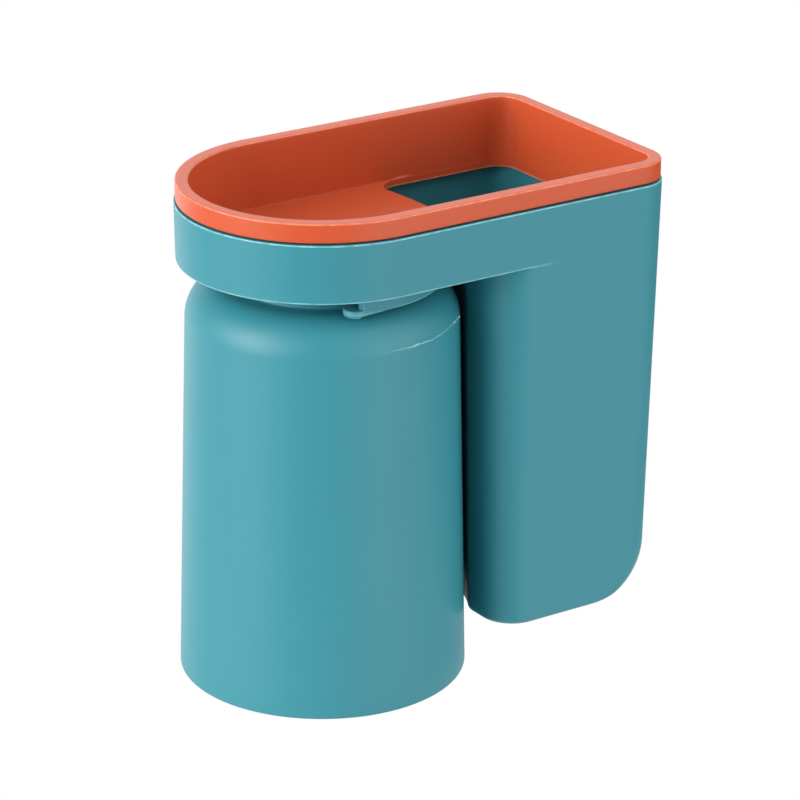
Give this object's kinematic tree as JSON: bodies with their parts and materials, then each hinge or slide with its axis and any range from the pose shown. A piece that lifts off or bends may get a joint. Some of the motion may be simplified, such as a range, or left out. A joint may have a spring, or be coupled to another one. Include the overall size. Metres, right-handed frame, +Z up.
{
  "type": "toothbrush holder",
  "caption": "Wall-stuck D-shaped toothbrush holder with a deep pocket, a lift-out storage tray and a cup hung upside down from a rail.",
  "frame": {"origin": "centre of the adhesive pad's wall face", "axes": "+Y into the wall, +Z up, +X to the right for someone who faces the wall"},
  "size_m": [0.076, 0.1261, 0.1353],
  "materials": {
    "teal_plastic": "moulded, satin",
    "orange_plastic": "moulded, satin",
    "white_plastic": "moulded, satin",
    "adhesive": "acrylic foam, smooth"
  },
  "bodies": {
    "wall_plate": {"wall_plate": "white_plastic", "adhesive_pad": "adhesive"},
    "holder": {"holder_body": "teal_plastic"},
    "tray": {"storage_tray": "orange_plastic"},
    "cup": {"cup": "teal_plastic"}
  },
  "joints": [
    {"name": "holder_lift", "type": "slide", "parent": "wall_plate", "child": "holder", "axis": [0, 0, 1], "range_m": [0, 0.0261]},
    {"name": "tray_lift", "type": "slide", "parent": "holder", "child": "tray", "axis": [0, 0, 1], "range_m": [0, 0.018]},
    {"name": "cup_slide", "type": "slide", "parent": "holder", "child": "cup", "axis": [0, -1, 0], "range_m": [0, 0.04]}
  ]
}
